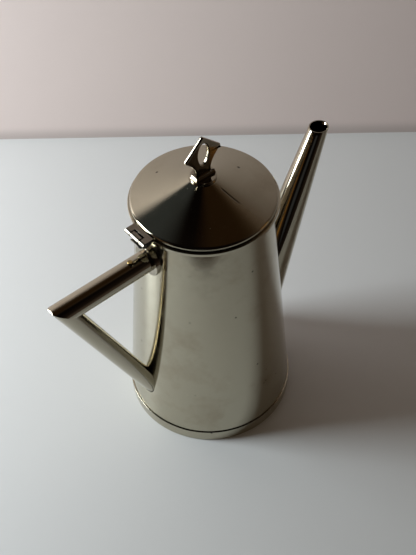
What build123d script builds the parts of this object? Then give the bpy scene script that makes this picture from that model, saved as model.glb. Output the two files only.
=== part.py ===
from build123d import *
from math import asin, atan2, cos, sin, sqrt, tan
import os

# Chocolate pot: a tapered metal pot with a hinged conical lid, a long straight spout and a tube handle.
#
# Frame: millimetres, +Z up. The origin is the centre of the foot, on the surface that the pot stands
# on. The spout points along +X. The handle and the lid's hinge lie on -X.

# ---------------------------------------------------------------- driving dimensions

# Foot ring and floor
foot_height = 8.0
foot_overhang = 0.6
foot_chamfer = 0.6
foot_spigot_height = 3.0
foot_spigot_wall = 1.0
ledge_height = 4.6
ledge_width = 1.8
floor_thickness = 1.2
floor_rise = 2.4
floor_margin = 5.0

# Tapered wall
wall_top_height = 145.95
wall_foot_radius = 46.7
wall_top_radius = 33.6
wall = 1.2

# Rim ring round the mouth
rim_overhang = 3.35
rim_thickness = 2.0
rim_chamfer = 0.5

# Lid
lid_gap = 0.3
lid_edge_inset = 0.05
lid_edge_thickness = 0.9
lid_edge_chamfer = 0.3
lid_rise = 10.95
lid_bend_radius = 20.0
lid_sag = 0.5
lid_sheet = 1.1
lid_lip_width = 1.2
lid_top_radius = 6.8
bezel_wall = 1.0
bezel_drop = 3.65
bezel_clearance = 0.7

# Finial
finial_foot_radius = 6.6
finial_foot_thickness = 1.4
finial_foot_chamfer = 0.9
plinth_length = 12.1
plinth_width = 5.4
plinth_height = 2.1
plinth_chamfer = 0.35
blade_thickness = 2.0
blade_half_width = 11.2
blade_neck_half_width = 4.3
blade_neck_rise = 5.8
blade_corner_rise = 11.5
blade_top_rise = 21.5
blade_corner_round = 0.5
blade_edge_chamfer = 0.2
eye_half_width = 3.3
eye_half_height = 6.45
eye_rise = 11.2
stud_radius = 1.5
stud_depth = 1.7
stud_tail = 0.8
stud_chamfer = 0.3
washer_radius = 4.2
washer_thickness = 0.8
nut_across_flats = 5.5
nut_height = 2.4
nut_chamfer = 0.25

# Hinge
hinge_offset = 3.95
hinge_rise = 0.15
knuckle_radius = 1.5
hinge_width = 14.0
tongue_width = 6.8
tongue_radius = 1.9
leaf_clearance = 0.35
hinge_arm_thickness = 3.2
hinge_arm_round = 2.0
hinge_pin_radius = 0.7
hinge_pin_overhang = 0.2

# Handle
grip_drop = 16.45
grip_radius = 5.65
elbow_reach = 83.9
elbow_round = 1.6
corner_margin = 0.3
strut_foot_height = 34.7
strut_radius = 5.1
tube_wall = 1.0
collar_radius = 8.6
collar_edge = 0.3
collar_chamfer = 0.5
collar_step_radius = 7.1
collar_step_thickness = 0.6
spigot_tail = 3.9
spigot_chamfer = 0.4
handle_pin_offset = 9.1
handle_pin_radius = 0.9
handle_pin_head_radius = 1.3
handle_pin_head_height = 0.35
handle_pin_head_chamfer = 0.2
handle_pin_recess = 0.3

# Spout
spout_mouth_reach = 77.8
spout_mouth_rise = 0.8
spout_mouth_radius = 5.05
spout_root_reach = 40.0
spout_root_height = 50.5
spout_root_radius = 12.5
spout_wall = 0.6
port_half_width = 7.5
port_half_height = 18.0
port_height = 51.0

# Fits
solder_gap = 0.02
push_fit = 0.05
pin_fit = 0.01
running_fit = 0.05
side_play = 0.15
swing_gap = 0.3

# ---------------------------------------------------------------- places that follow from them

wall_taper = (wall_foot_radius - wall_top_radius) / (wall_top_height - foot_height)
foot_radius = wall_foot_radius + foot_overhang
mouth_radius = wall_top_radius - wall
rim_radius = wall_top_radius + rim_overhang
rim_top = wall_top_height + rim_thickness
lid_bottom = rim_top + lid_gap
spout_mouth_height = rim_top + spout_mouth_rise
grip_height = wall_top_height - grip_drop
lid_edge_radius = rim_radius - lid_edge_inset
lid_seat = lid_bottom + lid_edge_thickness
lid_shell_edge = lid_seat + lid_sheet
lid_top = lid_shell_edge + lid_rise
bezel_radius = mouth_radius - bezel_clearance
lid_edge_bore = bezel_radius + push_fit
plinth_bottom = lid_top + finial_foot_thickness
plinth_top = plinth_bottom + plinth_height
stud_top = plinth_bottom + stud_depth
washer_bottom = lid_top - lid_sheet - washer_thickness
nut_bottom = washer_bottom - nut_height
stud_bottom = nut_bottom - stud_tail
hinge_reach = rim_radius + hinge_offset
hinge_height = lid_bottom + hinge_rise
leaf_shoulder_reach = rim_radius + leaf_clearance
knuckle_top = hinge_height + knuckle_radius
knuckle_bottom = hinge_height - knuckle_radius
slot_width = tongue_width + 2 * side_play
slot_reach = hinge_reach - tongue_radius - swing_gap


def wall_radius(height):
    """Outer radius of the tapered wall at a height."""
    return wall_foot_radius - wall_taper * (height - foot_height)


# The space that the tapered pot takes up: what is soldered to its outside is trimmed with it
space_top_radius = wall_radius(rim_top) + solder_gap
with BuildSketch(Plane.XZ) as pot_space:
    with BuildLine():
        Polyline(
            (0, 0),
            (wall_radius(0) + solder_gap, 0),
            (space_top_radius, rim_top),
            (0, rim_top),
            close=True,
        )
    make_face()

os.makedirs("parts", exist_ok=True)

# ---------------------------------------------------------------- foot ring
# A turned band that the pot stands on, with a spigot up inside the wall and a ledge for the floor

spigot_top = foot_height + foot_spigot_height
spigot_inset = wall + push_fit
foot_bore_radius = wall_radius(spigot_top) - spigot_inset - foot_spigot_wall
with BuildPart() as foot_ring:
    with BuildSketch(Plane.XZ):
        with BuildLine():
            Polyline(
                (foot_bore_radius - ledge_width, 0),
                (foot_radius - foot_chamfer, 0),
                (foot_radius, foot_chamfer),
                (foot_radius, foot_height),
                (wall_radius(foot_height) - spigot_inset, foot_height),
                (wall_radius(spigot_top) - spigot_inset, spigot_top),
                (foot_bore_radius, spigot_top),
                (foot_bore_radius, ledge_height),
                (foot_bore_radius - ledge_width, ledge_height),
                close=True,
            )
        make_face()
    revolve(axis=Axis.Z)
foot_ring.part.label = "foot_ring"
export_step(foot_ring.part, "parts/foot_ring.step")

# ---------------------------------------------------------------- floor plate
# A pressed disc on the foot ring's ledge, with a flat margin and a raised middle

floor_radius = foot_bore_radius - push_fit
step_radius = floor_radius - floor_margin
panel_radius = step_radius - floor_rise
floor_top = ledge_height + floor_thickness
with BuildPart() as floor_plate:
    with BuildSketch(Plane.XZ):
        with BuildLine():
            Polyline(
                (0, ledge_height + floor_rise),
                (panel_radius, ledge_height + floor_rise),
                (step_radius, ledge_height),
                (floor_radius, ledge_height),
                (floor_radius, floor_top),
                (step_radius, floor_top),
                (panel_radius, floor_top + floor_rise),
                (0, floor_top + floor_rise),
                close=True,
            )
        make_face()
    revolve(axis=Axis.Z)
floor_plate.part.label = "floor_plate"
export_step(floor_plate.part, "parts/floor_plate.step")

# ---------------------------------------------------------------- body shell
# The tapered wall, with the pouring port that opens into the spout

with BuildPart() as body_shell:
    with BuildSketch(Plane.XZ):
        with BuildLine():
            Polyline(
                (wall_foot_radius - wall, foot_height),
                (wall_foot_radius, foot_height),
                (wall_top_radius, wall_top_height),
                (mouth_radius, wall_top_height),
                close=True,
            )
        make_face()
    revolve(axis=Axis.Z)
    with BuildSketch(Plane.YZ):
        with Locations((0, port_height)):
            Ellipse(port_half_width, port_half_height)
    extrude(amount=wall_foot_radius + wall, mode=Mode.SUBTRACT)
body_shell.part.label = "body_shell"
export_step(body_shell.part, "parts/body_shell.step")

# ---------------------------------------------------------------- rim ring
# A flat ring with a softened edge, soldered on the wall's top

with BuildPart() as rim_ring:
    with BuildSketch(Plane.XZ):
        with BuildLine():
            Polyline(
                (mouth_radius, wall_top_height),
                (rim_radius - rim_chamfer, wall_top_height),
                (rim_radius, wall_top_height + rim_chamfer),
                (rim_radius, rim_top - rim_chamfer),
                (rim_radius - rim_chamfer, rim_top),
                (mouth_radius, rim_top),
                close=True,
            )
        make_face()
    revolve(axis=Axis.Z)
rim_ring.part.label = "rim_ring"
export_step(rim_ring.part, "parts/rim_ring.step")

# ---------------------------------------------------------------- spout
# A straight tapered tube, cut level at the mouth and to the wall at the root

spout_lean = atan2(spout_mouth_height - spout_root_height, spout_mouth_reach - spout_root_reach)
spout_length = (spout_mouth_height - spout_root_height) / sin(spout_lean)
spout_taper = (spout_root_radius - spout_mouth_radius) / spout_length
spout_start = -spout_root_radius / tan(spout_lean) - spout_root_radius
spout_end = spout_length + 2 * spout_mouth_radius / tan(spout_lean)
spout_plane = Plane(
    origin=(spout_root_reach, 0, spout_root_height),
    x_dir=(cos(spout_lean), 0, sin(spout_lean)),
    z_dir=(0, -1, 0),
)
spout_axis = Axis(spout_plane.origin, spout_plane.x_dir)


def spout_radius(distance):
    """Outer radius of the spout at a distance along its axis from the root point."""
    return spout_root_radius - spout_taper * distance


with BuildPart() as spout:
    with BuildSketch(spout_plane):
        with BuildLine():
            Polyline(
                (spout_start, 0),
                (spout_start, spout_radius(spout_start)),
                (spout_end, spout_radius(spout_end)),
                (spout_end, 0),
                close=True,
            )
        make_face()
    revolve(axis=spout_axis)
    with BuildSketch(spout_plane):
        with BuildLine():
            Polyline(
                (spout_start, 0),
                (spout_start, spout_radius(spout_start) - spout_wall),
                (spout_end, spout_radius(spout_end) - spout_wall),
                (spout_end, 0),
                close=True,
            )
        make_face()
    revolve(axis=spout_axis, mode=Mode.SUBTRACT)
    split(bisect_by=Plane.XY.offset(spout_mouth_height), keep=Keep.BOTTOM)
    revolve(pot_space.sketch, axis=Axis.Z, mode=Mode.SUBTRACT)
spout.part.label = "spout"
export_step(spout.part, "parts/spout.step")

# ---------------------------------------------------------------- handle
# Distances from the pot's axis run outwards along -X in the grip's plane

grip_plane = Plane(origin=(0, 0, grip_height), x_dir=(-1, 0, 0), z_dir=(0, 1, 0))
grip_axis = Axis(grip_plane.origin, grip_plane.x_dir)
collar_face = wall_radius(grip_height - collar_radius) + collar_edge
grip_start = collar_face + collar_step_thickness
spigot_radius = grip_radius - tube_wall - push_fit
handle_pin_reach = grip_start + handle_pin_offset
spigot_end = handle_pin_reach + spigot_tail

# The elbow: both tubes are cut on the plane through the outer and the inner corner of their outlines
strut_foot_reach = wall_radius(strut_foot_height)
strut_drop = atan2(grip_height - strut_foot_height, elbow_reach - strut_foot_reach)
strut_length = (grip_height - strut_foot_height) / sin(strut_drop)
elbow = Vector(-elbow_reach, 0, grip_height)
strut_plane = Plane(
    origin=elbow,
    x_dir=(cos(strut_drop), 0, -sin(strut_drop)),
    z_dir=(0, -1, 0),
)
strut_axis = Axis(strut_plane.origin, strut_plane.x_dir)


def corner_run(margin):
    """Distance that the tubes' outlines, set out by a margin, run past the elbow before they cross."""
    across = (grip_radius + margin) * cos(strut_drop) + strut_radius + margin
    return across / sin(strut_drop)


mitre_run = corner_run(0) + grip_radius
mitre_plane = Plane(origin=elbow, x_dir=(0, 1, 0), z_dir=(grip_radius, 0, corner_run(0)))

# The outline that the elbow's outer corner is filed to
corner_reach = elbow_reach + corner_run(corner_margin)
corner_height = grip_height + grip_radius + corner_margin
corner_span = strut_length + elbow_reach
with BuildSketch(Plane.XZ) as elbow_outline:
    with BuildLine():
        FilletPolyline(
            (0, corner_height),
            (-corner_reach, corner_height),
            (
                -corner_reach + corner_span * cos(strut_drop),
                corner_height - corner_span * sin(strut_drop),
            ),
            (0, 0),
            radius=elbow_round,
            close=True,
        )
    make_face()

# Collar: a flange against the wall, a step that stops the upper tube and a spigot inside it
with BuildPart() as handle_collar:
    with BuildSketch(grip_plane):
        with BuildLine():
            Polyline(
                (0, 0),
                (0, collar_radius),
                (collar_face, collar_radius),
                (collar_face, collar_step_radius),
                (grip_start, collar_step_radius),
                (grip_start, spigot_radius),
                (spigot_end, spigot_radius),
                (spigot_end, 0),
                close=True,
            )
        make_face()
    revolve(axis=grip_axis)
    flange_edges = handle_collar.edges().filter_by(GeomType.CIRCLE).sort_by(Axis.X)
    chamfer(flange_edges.filter_by(lambda e: e.radius > collar_step_radius + push_fit)[0], collar_chamfer)
    chamfer(handle_collar.edges().filter_by(GeomType.CIRCLE).sort_by(Axis.X)[0], spigot_chamfer)
    with Locations((-handle_pin_reach, 0, grip_height + grip_radius)):
        Hole(handle_pin_radius + pin_fit, depth=2 * grip_radius)
    revolve(pot_space.sketch, axis=Axis.Z, mode=Mode.SUBTRACT)
handle_collar.part.label = "handle_collar"
export_step(handle_collar.part, "parts/handle_collar.step")

# Upper tube: level, from the collar's step to the elbow
grip_end = elbow_reach + mitre_run
with BuildPart() as handle_upper_tube:
    with BuildSketch(grip_plane):
        with BuildLine():
            Polyline(
                (grip_start, grip_radius - tube_wall),
                (grip_start, grip_radius),
                (grip_end, grip_radius),
                (grip_end, grip_radius - tube_wall),
                close=True,
            )
        make_face()
    revolve(axis=grip_axis)
    with Locations((-handle_pin_reach, 0, grip_height + grip_radius)):
        Hole(handle_pin_radius + pin_fit, depth=2 * grip_radius)
    split(bisect_by=mitre_plane, keep=Keep.TOP)
    extrude(elbow_outline.sketch, amount=2 * grip_radius, both=True, mode=Mode.INTERSECT)
handle_upper_tube.part.label = "handle_upper_tube"
export_step(handle_upper_tube.part, "parts/handle_upper_tube.step")

# Lower tube: from the elbow down to the wall, and cut to the wall
strut_end = strut_length + 3 * strut_radius
with BuildPart() as handle_lower_tube:
    with BuildSketch(strut_plane):
        with BuildLine():
            Polyline(
                (-mitre_run, strut_radius - tube_wall),
                (-mitre_run, strut_radius),
                (strut_end, strut_radius),
                (strut_end, strut_radius - tube_wall),
                close=True,
            )
        make_face()
    revolve(axis=strut_axis)
    split(bisect_by=mitre_plane, keep=Keep.BOTTOM)
    extrude(elbow_outline.sketch, amount=2 * grip_radius, both=True, mode=Mode.INTERSECT)
    revolve(pot_space.sketch, axis=Axis.Z, mode=Mode.SUBTRACT)
handle_lower_tube.part.label = "handle_lower_tube"
export_step(handle_lower_tube.part, "parts/handle_lower_tube.step")

# Pin: driven down through the upper tube and the spigot, with a low head
head_top = grip_height + grip_radius + handle_pin_head_height
with BuildPart() as handle_pin:
    with BuildSketch(Plane.XY.offset(grip_height)):
        with Locations((-handle_pin_reach, 0)):
            Circle(handle_pin_head_radius)
    extrude(amount=head_top - grip_height)
    chamfer(handle_pin.edges().group_by(Axis.Z)[-1], handle_pin_head_chamfer)
    with BuildSketch(Plane.YZ.offset(-handle_pin_reach)):
        with Locations((0, grip_height)):
            Circle(grip_radius + solder_gap)
    extrude(amount=2 * handle_pin_head_radius, both=True, mode=Mode.SUBTRACT)
    with BuildSketch(Plane.XY.offset(grip_height - grip_radius + handle_pin_recess)):
        with Locations((-handle_pin_reach, 0)):
            Circle(handle_pin_radius)
    extrude(amount=2 * grip_radius - handle_pin_recess + handle_pin_head_height / 2)
handle_pin.part.label = "handle_pin"
export_step(handle_pin.part, "parts/handle_pin.step")

# ---------------------------------------------------------------- hinge
# A fork on the lid and a tongue on the pot, with a pin through both

pin_centre = (-hinge_reach, hinge_height)
knuckle_reach = hinge_reach + knuckle_radius
knuckle_shoulder = knuckle_radius * sqrt(0.5)
arm_top = wall_top_height - solder_gap
arm_bottom = arm_top - hinge_arm_thickness
tongue_top_reach = hinge_reach - sqrt(tongue_radius**2 - knuckle_radius**2)
tongue_side_reach = hinge_reach - tongue_radius
tongue_turn = asin(knuckle_radius / tongue_radius) / 2
tongue_turn_reach = -hinge_reach + tongue_radius * cos(tongue_turn)
tongue_turn_height = hinge_height + tongue_radius * sin(tongue_turn)

# Body leaf: an arm under the rim ring that turns up into the hinge's middle knuckle
with BuildPart() as body_hinge_leaf:
    with BuildSketch(Plane.XZ) as leaf_profile:
        with BuildLine():
            Line((-mouth_radius, arm_bottom), (-knuckle_reach, arm_bottom))
            Line((-knuckle_reach, arm_bottom), (-knuckle_reach, hinge_height))
            ThreePointArc(
                (-knuckle_reach, hinge_height),
                (-hinge_reach - knuckle_shoulder, hinge_height + knuckle_shoulder),
                (-hinge_reach, knuckle_top),
            )
            Line((-hinge_reach, knuckle_top), (-tongue_top_reach, knuckle_top))
            ThreePointArc(
                (-tongue_top_reach, knuckle_top),
                (tongue_turn_reach, tongue_turn_height),
                (-tongue_side_reach, hinge_height),
            )
            Polyline(
                (-tongue_side_reach, hinge_height),
                (-tongue_side_reach, arm_top),
                (-mouth_radius, arm_top),
                (-mouth_radius, arm_bottom),
            )
        make_face()
        fillet(leaf_profile.vertices().group_by(Axis.Y)[0].sort_by(Axis.X)[0], hinge_arm_round)
        with Locations(pin_centre):
            Circle(hinge_pin_radius + running_fit, mode=Mode.SUBTRACT)
    extrude(amount=tongue_width / 2, both=True)
    revolve(pot_space.sketch, axis=Axis.Z, mode=Mode.SUBTRACT)
body_hinge_leaf.part.label = "body_hinge_leaf"
export_step(body_hinge_leaf.part, "parts/body_hinge_leaf.step")

# Lid leaf: a plate against the lid's edge, forked round the tongue, with the two outer knuckles
leaf_root_reach = lid_edge_radius - lid_sheet
with BuildPart() as lid_hinge_leaf:
    with BuildSketch(Plane.XZ):
        with BuildLine():
            Line((-hinge_reach, knuckle_top), (-leaf_root_reach, knuckle_top))
            Polyline(
                (-leaf_root_reach, knuckle_top),
                (-leaf_root_reach, lid_bottom),
                (-leaf_shoulder_reach, lid_bottom),
                (-leaf_shoulder_reach, knuckle_bottom),
                (-hinge_reach, knuckle_bottom),
            )
            ThreePointArc(
                (-hinge_reach, knuckle_bottom),
                (-knuckle_reach, hinge_height),
                (-hinge_reach, knuckle_top),
            )
        make_face()
        with Locations(pin_centre):
            Circle(hinge_pin_radius + pin_fit, mode=Mode.SUBTRACT)
    extrude(amount=hinge_width / 2, both=True)
    with BuildSketch(Plane.XY.offset(knuckle_bottom - knuckle_radius)):
        with Locations((-slot_reach, 0)):
            Rectangle(hinge_width, slot_width, align=(Align.MAX, Align.CENTER))
        Circle(lid_edge_radius + solder_gap)
    extrude(amount=4 * knuckle_radius, mode=Mode.SUBTRACT)
lid_hinge_leaf.part.label = "lid_hinge_leaf"
export_step(lid_hinge_leaf.part, "parts/lid_hinge_leaf.step")

# Pin: held in the fork's knuckles, free in the tongue
with BuildPart() as hinge_pin:
    with BuildSketch(Plane.XZ):
        with Locations(pin_centre):
            Circle(hinge_pin_radius)
    extrude(amount=hinge_width / 2 + hinge_pin_overhang, both=True)
    chamfer(hinge_pin.edges().filter_by(GeomType.CIRCLE), hinge_pin_overhang)
hinge_pin.part.label = "hinge_pin"
export_step(hinge_pin.part, "parts/hinge_pin.step")

# ---------------------------------------------------------------- lid
# Edge ring: a flat ring under the lid's sheet that stiffens its edge

with BuildPart() as lid_edge_ring:
    with BuildSketch(Plane.XZ):
        with BuildLine():
            Polyline(
                (lid_edge_bore, lid_bottom),
                (lid_edge_radius - lid_edge_chamfer, lid_bottom),
                (lid_edge_radius, lid_bottom + lid_edge_chamfer),
                (lid_edge_radius, lid_seat),
                (lid_edge_bore, lid_seat),
                close=True,
            )
        make_face()
    revolve(axis=Axis.Z)
lid_edge_ring.part.label = "lid_edge_ring"
export_step(lid_edge_ring.part, "parts/lid_edge_ring.step")

# Shell: a spun cone that steepens towards its flat top, with a flat lip on the ring
lid_slope = lid_rise / (lid_edge_radius - lid_top_radius)
lid_bend_rise = lid_slope * (lid_edge_radius - lid_bend_radius) - lid_sag
lip_radius = lid_edge_radius - lid_lip_width
lip_rise = lid_lip_width * lid_bend_rise / (lid_edge_radius - lid_bend_radius)
stud_hole_radius = stud_radius + push_fit
with BuildPart() as lid_shell:
    with BuildSketch(Plane.XZ):
        with BuildLine():
            Polyline(
                (lip_radius, lid_seat),
                (lid_edge_radius, lid_seat),
                (lid_edge_radius, lid_shell_edge),
                (lid_bend_radius, lid_shell_edge + lid_bend_rise),
                (lid_top_radius, lid_top),
                (stud_hole_radius, lid_top),
                (stud_hole_radius, lid_top - lid_sheet),
                (lid_top_radius, lid_top - lid_sheet),
                (lid_bend_radius, lid_seat + lid_bend_rise),
                (lip_radius, lid_seat + lip_rise),
                close=True,
            )
        make_face()
    revolve(axis=Axis.Z)
lid_shell.part.label = "lid_shell"
export_step(lid_shell.part, "parts/lid_shell.step")

# Bezel: the short tube inside the mouth that keeps the lid in place
with BuildPart() as lid_bezel:
    with BuildSketch(Plane.XY.offset(lid_bottom - bezel_drop)):
        Circle(bezel_radius)
        Circle(bezel_radius - bezel_wall, mode=Mode.SUBTRACT)
    extrude(amount=bezel_drop + lid_edge_thickness)
lid_bezel.part.label = "lid_bezel"
export_step(lid_bezel.part, "parts/lid_bezel.step")

# ---------------------------------------------------------------- finial
# Foot: a turned disc with a broad bevel on the lid's flat top

with BuildPart() as finial_foot:
    with BuildSketch(Plane.XY.offset(lid_top)):
        Circle(finial_foot_radius)
        Circle(stud_hole_radius, mode=Mode.SUBTRACT)
    extrude(amount=finial_foot_thickness)
    chamfer(finial_foot.edges().group_by(Axis.Z)[-1].sort_by(SortBy.RADIUS)[-1], finial_foot_chamfer)
finial_foot.part.label = "finial_foot"
export_step(finial_foot.part, "parts/finial_foot.step")

# Blade: a flat spade with hollow lower sides, a square top and an oval eye, cast with its plinth
blade_root = plinth_top - plinth_chamfer
blade_corner = plinth_top + blade_corner_rise
with BuildPart() as finial_blade:
    with BuildSketch(Plane.XZ) as blade_face:
        with BuildLine():
            Line((-blade_neck_half_width, blade_root), (blade_neck_half_width, blade_root))
            for side in (-blade_neck_half_width, blade_neck_half_width):
                Line((side, blade_root), (side, plinth_top))
            for side in (-1, 1):
                Bezier(
                    (side * blade_neck_half_width, plinth_top),
                    (side * blade_neck_half_width, plinth_top + blade_neck_rise),
                    (side * blade_half_width, blade_corner),
                )
                Line((side * blade_half_width, blade_corner), (0, plinth_top + blade_top_rise))
        make_face()
        fillet(blade_face.vertices().sort_by(Axis.Y)[-3:], blade_corner_round)
        with Locations((0, plinth_top + eye_rise)):
            Ellipse(eye_half_width, eye_half_height, mode=Mode.SUBTRACT)
    extrude(amount=blade_thickness / 2, both=True)
    blade_edges = finial_blade.faces().filter_by(Axis.Y).edges()
    chamfer(blade_edges.filter_by(lambda edge: edge.center().Z > plinth_top), blade_edge_chamfer)
    with BuildSketch(Plane.XY.offset(plinth_bottom)):
        Rectangle(plinth_length, plinth_width)
    extrude(amount=plinth_height)
    plinth_ends = finial_blade.faces().filter_by(Axis.X).filter_by(lambda face: face.center().Z < plinth_top)
    chamfer(plinth_ends.edges(), plinth_chamfer)
    with Locations(Plane(origin=(0, 0, plinth_bottom), z_dir=(0, 0, -1))):
        Hole(stud_radius + pin_fit, depth=stud_depth)
finial_blade.part.label = "finial_blade"
export_step(finial_blade.part, "parts/finial_blade.step")

# Stud: fixed in the plinth, and through the finial's foot, the lid, the washer and the nut
with BuildPart() as finial_stud:
    with BuildSketch(Plane.XY.offset(stud_bottom)):
        Circle(stud_radius)
    extrude(amount=stud_top - stud_bottom)
    chamfer(finial_stud.edges().filter_by(GeomType.CIRCLE), stud_chamfer)
finial_stud.part.label = "finial_stud"
export_step(finial_stud.part, "parts/finial_stud.step")

with BuildPart() as finial_washer:
    with BuildSketch(Plane.XY.offset(washer_bottom)):
        Circle(washer_radius)
        Circle(stud_hole_radius, mode=Mode.SUBTRACT)
    extrude(amount=washer_thickness)
finial_washer.part.label = "finial_washer"
export_step(finial_washer.part, "parts/finial_washer.step")

# Nut: a hexagon with its corners turned off below
nut_corner_radius = nut_across_flats / sqrt(3)
with BuildPart() as finial_nut:
    with BuildSketch(Plane.XY.offset(nut_bottom)):
        RegularPolygon(nut_across_flats / 2, 6, major_radius=False)
        Circle(stud_radius + pin_fit, mode=Mode.SUBTRACT)
    extrude(amount=nut_height)
    with BuildSketch(Plane.XZ):
        with BuildLine():
            Polyline(
                (0, nut_bottom),
                (nut_across_flats / 2, nut_bottom),
                (nut_corner_radius, nut_bottom + nut_chamfer),
                (nut_corner_radius, nut_bottom + nut_height),
                (0, nut_bottom + nut_height),
                close=True,
            )
        make_face()
    revolve(axis=Axis.Z, mode=Mode.INTERSECT)
finial_nut.part.label = "finial_nut"
export_step(finial_nut.part, "parts/finial_nut.step")
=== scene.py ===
"""Looks of a chocolate pot: a tapered, plated metal pot with a hinged lid, a long spout and a tube handle.

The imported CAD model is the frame. Sizes here are in millimetres and meshes are written in metres. +Z is up,
the spout points along +X, and the handle and the lid's hinge lie on -X.
"""

from __future__ import annotations

import logging
import math
from dataclasses import dataclass
from enum import Enum

import bmesh
import bpy
import numpy as np
from mathutils import Matrix, Vector

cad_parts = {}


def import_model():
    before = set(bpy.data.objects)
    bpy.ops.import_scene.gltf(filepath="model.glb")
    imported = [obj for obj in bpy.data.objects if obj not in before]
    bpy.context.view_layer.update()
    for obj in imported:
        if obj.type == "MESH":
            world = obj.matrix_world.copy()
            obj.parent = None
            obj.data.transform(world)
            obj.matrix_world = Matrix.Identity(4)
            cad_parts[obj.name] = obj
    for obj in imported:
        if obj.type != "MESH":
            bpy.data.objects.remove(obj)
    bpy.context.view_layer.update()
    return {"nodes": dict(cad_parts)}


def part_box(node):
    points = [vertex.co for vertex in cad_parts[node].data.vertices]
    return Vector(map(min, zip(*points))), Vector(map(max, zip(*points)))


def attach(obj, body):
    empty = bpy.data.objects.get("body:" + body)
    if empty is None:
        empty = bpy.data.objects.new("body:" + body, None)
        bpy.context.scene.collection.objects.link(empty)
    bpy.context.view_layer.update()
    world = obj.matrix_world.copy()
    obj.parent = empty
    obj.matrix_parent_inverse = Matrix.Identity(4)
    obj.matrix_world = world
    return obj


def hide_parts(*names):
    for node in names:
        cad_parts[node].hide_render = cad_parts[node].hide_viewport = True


LOG = logging.getLogger("pot")
# One millimetre in Blender's metres
MM = 0.001
# Steps once round a turned piece, and round a rounded corner
TURNS = 288
ARC_STEPS = 6
# A crease steeper than this is shaded sharp, or bevelled
SHARP_ANGLE = math.radians(38)
# Points that lie closer together than this are one point, in millimetres
MERGE_WIDTH = 0.002
# How far a guard point lies from a rounded corner, in millimetres
GUARD = 0.12


# ---------------------------------------------------------------- the frame


@dataclass(frozen=True)
class Extent:
    """Lowest and highest corner of a CAD node at rest, in millimetres."""

    low: np.ndarray
    high: np.ndarray

    @classmethod
    def of(cls, node: str) -> Extent:
        """Reads a node's extent from the frame."""
        low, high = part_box(node)
        return cls(np.array(low) / MM, np.array(high) / MM)


# ---------------------------------------------------------------- outlines and surfaces


@dataclass(frozen=True)
class Spindle:
    """Axis that a turned piece runs along: its origin, its direction and the side where turning starts."""

    origin: tuple[float, float, float] = (0.0, 0.0, 0.0)
    along: tuple[float, float, float] = (0.0, 0.0, 1.0)
    side: tuple[float, float, float] = (1.0, 0.0, 0.0)

    def place(self, along: np.ndarray, radius: np.ndarray, angle: np.ndarray) -> np.ndarray:
        """Point = origin + distance x axis + radius x (cos(angle) x side + sin(angle) x (axis x side)).

        Args:
            along: Distances along the axis.
            radius: Distances from the axis.
            angle: Turn from the side direction, in radians.

        Returns:
            Points with a last dimension of 3.
        """
        axis = np.array(self.along) / np.linalg.norm(self.along)
        side = np.array(self.side) / np.linalg.norm(self.side)
        other = np.cross(axis, side)
        across = np.cos(angle)[..., None] * side + np.sin(angle)[..., None] * other
        return np.array(self.origin) + along[..., None] * axis + radius[..., None] * across


def turn_angles(turns: int = TURNS) -> np.ndarray:
    """Even angles once round, without the repeated last one."""
    return np.arange(turns) * (2 * math.pi / turns)


def rounded_outline(corners: list[tuple[float, float, float]], guard: float = GUARD) -> np.ndarray:
    """Closed outline whose corners are turned into arcs.

    Each corner P, between unit directions a and b to its neighbours, becomes an arc that touches both sides.
    Its centre is P + (a + b) / |a + b| x r / sin(half the corner's angle). One guard point lies a little way
    along each side from the arc, so that flat stretches stay flat when they are shaded smooth.

    Args:
        corners: Corner points, each with its rounding radius.
        guard: Distance from each arc's ends to its guard points.

    Returns:
        The outline's points, in order, as an array of (first, second) coordinates.
    """
    table = np.array(corners, dtype=float)
    point = table[:, :2]
    radius = table[:, 2:]
    back = np.roll(point, 1, axis=0) - point
    front = np.roll(point, -1, axis=0) - point
    back /= np.linalg.norm(back, axis=1, keepdims=True)
    front /= np.linalg.norm(front, axis=1, keepdims=True)
    middle = back + front
    middle /= np.linalg.norm(middle, axis=1, keepdims=True)
    half = np.arccos(np.clip((back * middle).sum(axis=1, keepdims=True), -1, 1))
    centre = point + middle * radius / np.sin(half)
    reach = radius / np.tan(half)
    start = point + back * reach - centre
    end = point + front * reach - centre
    sweep = math.pi - 2 * half
    share = np.linspace(0, 1, ARC_STEPS + 1)[None, :, None]
    scale = np.maximum(np.sin(sweep), 1e-9)[:, None, :]
    turn = sweep[:, None, :]
    round_off = (np.sin((1 - share) * turn) * start[:, None] + np.sin(share * turn) * end[:, None]) / scale
    before = point + back * (reach + guard * (radius > 0))
    after = point + front * (reach + guard * (radius > 0))
    rows = np.concatenate([before[:, None], centre[:, None] + round_off, after[:, None]], axis=1)
    return rows.reshape(-1, 2)


def grid_faces(rows: int, columns: int, wrap_rows: bool, wrap_columns: bool) -> np.ndarray:
    """Quads between neighbouring rows and columns of a grid of points.

    Args:
        rows: Rows of the grid.
        columns: Columns of the grid.
        wrap_rows: Whether the last row joins the first.
        wrap_columns: Whether the last column joins the first.

    Returns:
        Corner numbers, one row for each quad.
    """
    row = np.arange(rows if wrap_rows else rows - 1)[:, None]
    column = np.arange(columns if wrap_columns else columns - 1)[None, :]
    next_row = (row + 1) % rows
    next_column = (column + 1) % columns
    corners = [
        row * columns + column,
        row * columns + next_column,
        next_row * columns + next_column,
        next_row * columns + column,
    ]
    return np.stack(np.broadcast_arrays(*corners), axis=-1).reshape(-1, 4)


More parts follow.
